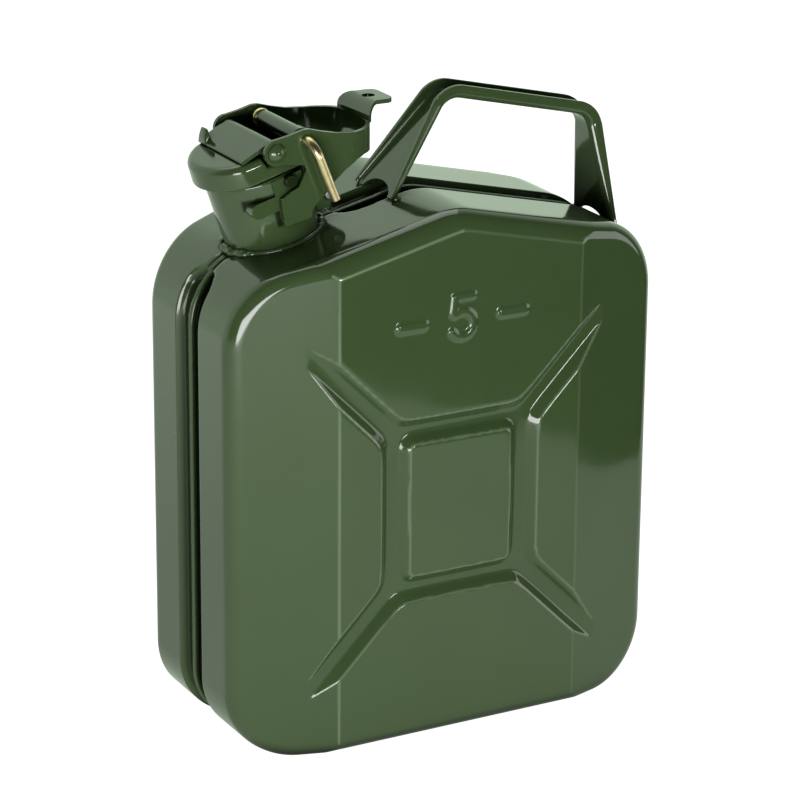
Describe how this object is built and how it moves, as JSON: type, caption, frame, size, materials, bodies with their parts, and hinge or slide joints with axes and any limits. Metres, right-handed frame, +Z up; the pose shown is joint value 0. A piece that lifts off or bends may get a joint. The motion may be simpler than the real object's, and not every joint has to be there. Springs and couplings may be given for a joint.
{
  "type": "jerry can",
  "caption": "Green steel fuel can with a cross-pressed body, a welded strap handle and a hinged cap clamped by a cam lever with a locking pin.",
  "frame": {"origin": "middle of the base, on the plane that the can stands on", "axes": "+Z up; +X along the width, from the spout to the high corner behind the handle; +Y from the front face to the rear face"},
  "size_m": [0.221, 0.1124, 0.2961],
  "materials": {
    "paint": "glossy dark green enamel on sheet steel",
    "steel": "plain drawn steel",
    "zinc": "yellow zinc plating on drawn wire",
    "rubber": "matt black fuel-proof rubber"
  },
  "bodies": {
    "can": {"front_shell": "paint", "rear_shell": "paint", "seam_weld": "paint", "handle": "paint", "handle_welds": "paint", "neck": "paint", "neck_weld": "paint", "catch_plates": "paint", "catch_pins": "paint", "hinge_bracket": "paint", "hinge_pin": "steel", "vent_tube": "paint"},
    "cap": {"cap": "paint", "cap_gasket": "rubber", "cap_bridge": "paint", "cap_hinge_arm": "paint", "pivot_rivet": "paint"},
    "lever": {"lever": "paint"},
    "locking_pin": {"pin_tube": "paint", "locking_pin": "zinc"}
  },
  "joints": [
    {"name": "cap_flip", "type": "hinge", "parent": "can", "child": "cap", "pos_m": [-0.0432, 0, 0.25352], "axis": [0, 1, 0], "range_deg": [0, 60]},
    {"name": "lever_lift", "type": "hinge", "parent": "cap", "child": "lever", "pos_m": [-0.07798, 0, 0.2812], "axis": [0, -1, 0], "range_deg": [0, 120]},
    {"name": "pin_swing", "type": "hinge", "parent": "lever", "child": "locking_pin", "pos_m": [-0.06348, 0, 0.2856], "axis": [0, -1, 0], "range_deg": [-30, 40]}
  ],
  "couplings": [
    {"joint": "cap_flip", "follows": "lever_lift", "ratio": 0.5}
  ]
}
